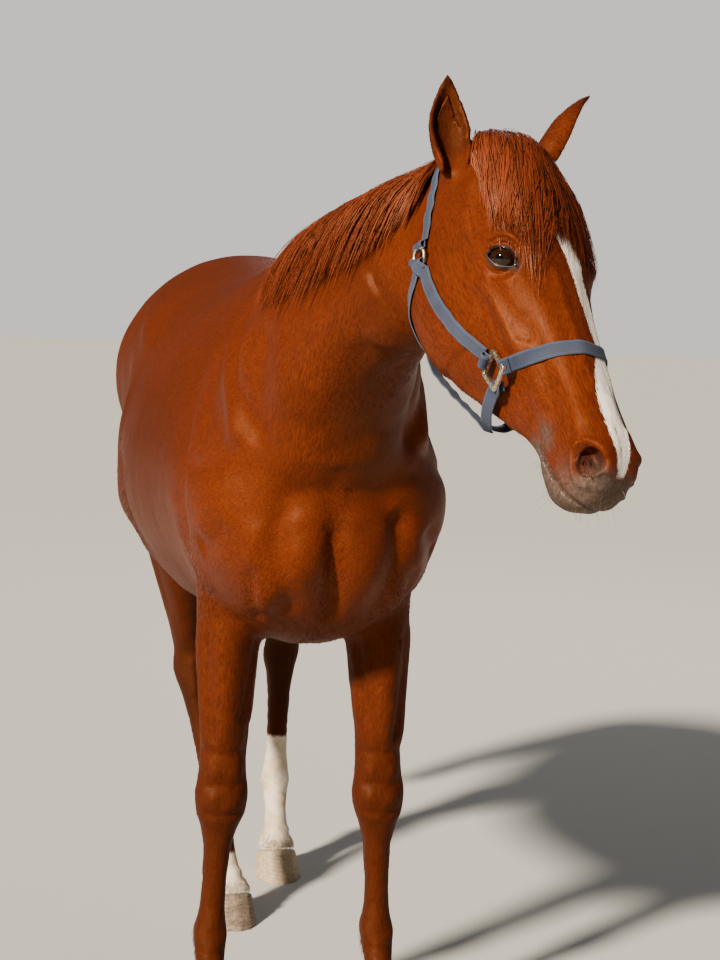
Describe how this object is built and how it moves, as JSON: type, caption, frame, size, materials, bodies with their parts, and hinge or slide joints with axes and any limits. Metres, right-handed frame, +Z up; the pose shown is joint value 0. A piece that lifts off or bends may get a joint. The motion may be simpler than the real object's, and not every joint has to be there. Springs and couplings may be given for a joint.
{
  "type": "horse",
  "caption": "Life-size chestnut riding horse standing with its head turned to its left, in a webbing halter.",
  "frame": {"origin": "on the floor under the middle of the whole width and length", "axes": "+Z up, nose towards -Y and tail towards +Y, the horse's left side towards +X"},
  "size_m": [0.6895, 2.5848, 1.8884],
  "materials": {
    "coat": "short glossy chestnut hair over skin, with a white blaze and white hind feet",
    "long_hair": "dark reddish hair in locks",
    "hoof_horn": "dull grey-brown horn",
    "eye": "wet dark brown",
    "webbing": "woven blue-grey nylon",
    "halter_metal": "worn warm plating"
  },
  "bodies": {
    "root": {"trunk": "coat", "neck": "coat", "head": "coat", "ear_right": "coat", "ear_left": "coat", "foreleg_right": "coat", "foreleg_left": "coat", "hindleg_right": "coat", "hindleg_left": "coat", "forehoof_right": "hoof_horn", "forehoof_left": "hoof_horn", "hindhoof_right": "hoof_horn", "hindhoof_left": "hoof_horn", "eye_right": "eye", "eye_left": "eye", "mane": "long_hair", "forelock": "long_hair", "tail": "long_hair", "halter_crown": "webbing", "halter_cheek_right": "webbing", "halter_cheek_left": "webbing", "halter_throat": "webbing", "halter_noseband": "webbing", "halter_chin": "webbing", "halter_jaw": "webbing", "halter_ring_right": "halter_metal", "halter_ring_left": "halter_metal", "halter_square_right": "halter_metal", "halter_square_left": "halter_metal"}
  },
  "joints": []
}
